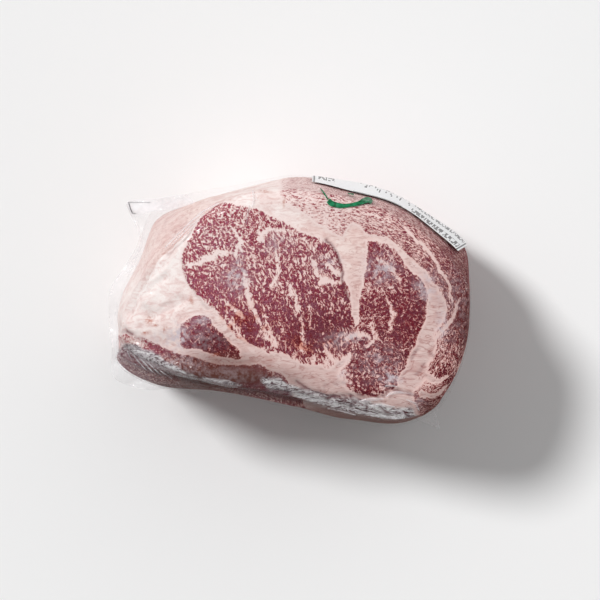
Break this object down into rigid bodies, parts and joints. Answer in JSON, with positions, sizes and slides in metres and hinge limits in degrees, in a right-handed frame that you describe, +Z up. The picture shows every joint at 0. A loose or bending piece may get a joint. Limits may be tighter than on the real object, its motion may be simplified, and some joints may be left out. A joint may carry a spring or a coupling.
{
  "type": "raw whole ribeye",
  "caption": "Block of raw marbled ribeye, sealed in clear shrink film with loose film edges and a plain label on its fat side, standing on a cut face.",
  "frame": {"origin": "middle of the bounding box, on the surface that the block stands on", "axes": "+X towards the chine end, along the longest side of the cut face; +Y towards the fat cap and its label; +Z up, out of the cut face that shows"},
  "size_m": [0.2504, 0.1752, 0.17],
  "materials": {
    "meat": "raw marbled beef and cream fat, wet under the film",
    "label": "white film-coated label with plain grey bars",
    "film": "clear shrink film, glossy, whitish where it folds"
  },
  "bodies": {
    "root": {"sealed_ribeye": "meat", "label": "label"}
  },
  "joints": []
}
